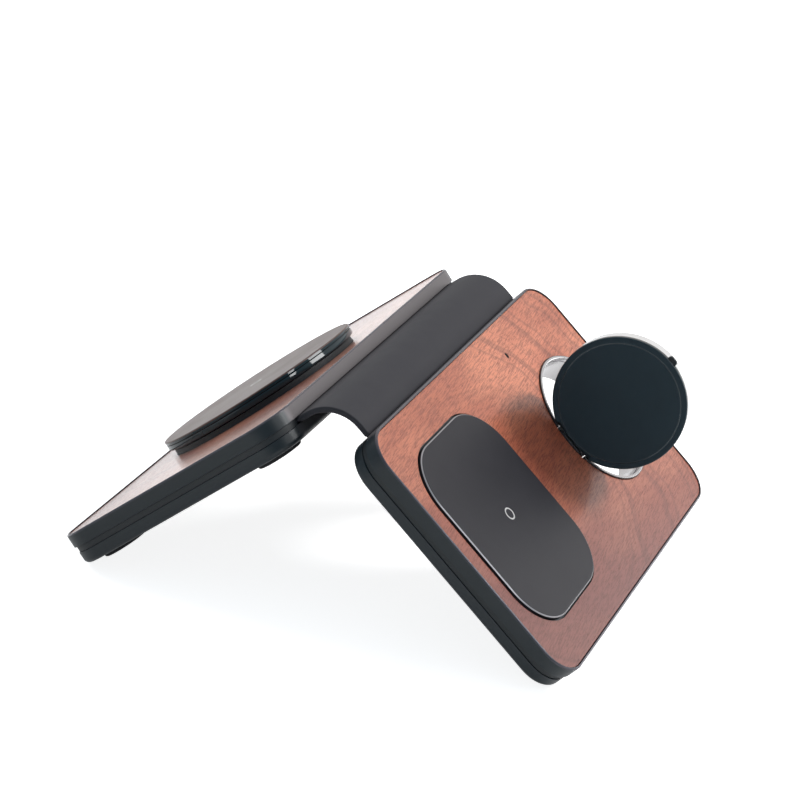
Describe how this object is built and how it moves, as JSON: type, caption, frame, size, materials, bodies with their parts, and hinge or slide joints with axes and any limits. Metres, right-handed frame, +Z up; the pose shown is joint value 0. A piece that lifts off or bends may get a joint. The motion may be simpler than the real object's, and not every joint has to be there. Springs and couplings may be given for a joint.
{
  "type": "wireless charger",
  "caption": "Folding wireless charger standing as a tent: round phone puck, square earbud pad and a flip-up watch disc over a through-hole, joined by a flexible band.",
  "frame": {"origin": "on the table surface, midway between the two panels' outer edges and midway along the hinge", "axes": "+Y along the hinge towards the watch station's end, +X across the hinge towards the panel with the earbud pad, +Z up"},
  "size_m": [0.1341, 0.1214, 0.0592],
  "materials": {
    "aluminium": "fine satin",
    "band_rubber": "matte",
    "bracket_steel": "satin",
    "case_slate": "satin slate",
    "circuit_board": "satin",
    "copper_coil": "varnished",
    "dark_plastic": "matte",
    "ferrite": "matte",
    "foot_rubber": "matte",
    "gloss_black": "high gloss",
    "light_guide": "clear, frosted",
    "magnet_metal": "nickel plated",
    "pad_plastic": "satin",
    "polished_metal": "polished",
    "puck_satin": "satin",
    "screw_steel": "satin",
    "walnut_veneer": "satin lacquer"
  },
  "bodies": {
    "right_panel": {"earbud_coil": "copper_coil", "earbud_pad_cover": "pad_plastic", "earbud_shield": "ferrite", "right_band_clamp": "bracket_steel", "right_case_screw_1": "screw_steel", "right_case_screw_2": "screw_steel", "right_case_screw_3": "screw_steel", "right_case_screw_4": "screw_steel", "right_circuit_board": "circuit_board", "right_clamp_screw_1": "screw_steel", "right_clamp_screw_2": "screw_steel", "right_clamp_screw_3": "screw_steel", "right_clamp_screw_4": "screw_steel", "right_lower_case": "case_slate", "right_middle_frame": "dark_plastic", "right_rubber_foot_1": "foot_rubber", "right_rubber_foot_2": "foot_rubber", "right_rubber_foot_3": "foot_rubber", "right_rubber_foot_4": "foot_rubber", "right_upper_case": "case_slate", "right_wood_veneer": "walnut_veneer", "status_light": "light_guide", "watch_bay_ring": "polished_metal", "watch_hinge_bracket": "bracket_steel", "watch_hinge_pin": "screw_steel"},
    "left_panel": {"left_band_clamp": "bracket_steel", "left_case_screw_1": "screw_steel", "left_case_screw_2": "screw_steel", "left_case_screw_3": "screw_steel", "left_case_screw_4": "screw_steel", "left_circuit_board": "circuit_board", "left_clamp_screw_1": "screw_steel", "left_clamp_screw_2": "screw_steel", "left_clamp_screw_3": "screw_steel", "left_clamp_screw_4": "screw_steel", "left_lower_case": "case_slate", "left_middle_frame": "dark_plastic", "left_rubber_foot_1": "foot_rubber", "left_rubber_foot_2": "foot_rubber", "left_rubber_foot_3": "foot_rubber", "left_rubber_foot_4": "foot_rubber", "left_upper_case": "case_slate", "left_wood_veneer": "walnut_veneer", "phone_coil": "copper_coil", "phone_magnet_ring": "magnet_metal", "phone_puck_base": "dark_plastic", "phone_puck_cap": "puck_satin", "phone_puck_tub": "gloss_black", "phone_shield": "ferrite", "supply_socket": "bracket_steel", "hinge_band": "band_rubber"},
    "watch_charger": {"watch_coil": "copper_coil", "watch_disc_cap": "gloss_black", "watch_disc_housing": "aluminium", "watch_magnet": "magnet_metal"}
  },
  "joints": [
    {"name": "panel_fold", "type": "hinge", "parent": "right_panel", "child": "left_panel", "pos_m": [0, 0, 0.05023], "axis": [0, 1, 0], "range_deg": [-98.46, 81.54], "deforming": ["hinge_band"]},
    {"name": "watch_flip", "type": "hinge", "parent": "right_panel", "child": "watch_charger", "pos_m": [0.03865, 0.01705, 0.02885], "axis": [0.7573, 0, -0.653], "range_deg": [-81, 9]}
  ]
}
